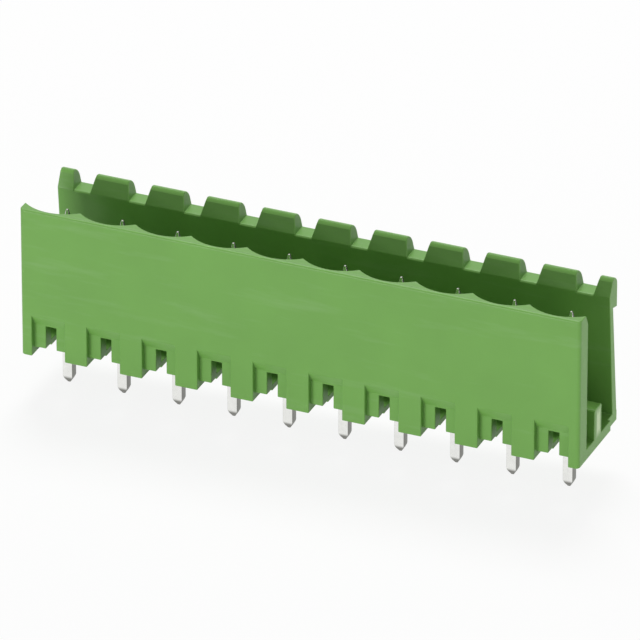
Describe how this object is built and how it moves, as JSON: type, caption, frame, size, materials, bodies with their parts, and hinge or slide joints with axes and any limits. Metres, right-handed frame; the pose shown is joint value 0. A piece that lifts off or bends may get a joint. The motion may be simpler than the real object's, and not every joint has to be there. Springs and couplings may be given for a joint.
{
  "type": "pluggable terminal block header",
  "caption": "Board half of a pluggable terminal block: open-ended moulded housing with a scalloped front wall, a notched latch wall and a row of square solder pins.",
  "frame": {"origin": "on the board's surface, midway along the housing, on the row of pins", "axes": "+X along the row of pins, +Y towards the latch wall, +Z away from the board, the way the plug is pulled off"},
  "size_m": [0.0508, 0.0092, 0.0182],
  "materials": {
    "housing": "moulded green polyamide, fine satin",
    "pin": "bright tin plating over copper alloy"
  },
  "bodies": {
    "root": {"housing": "housing", "pin_01": "pin", "pin_02": "pin", "pin_03": "pin", "pin_04": "pin", "pin_05": "pin", "pin_06": "pin", "pin_07": "pin", "pin_08": "pin", "pin_09": "pin", "pin_10": "pin"}
  },
  "joints": []
}
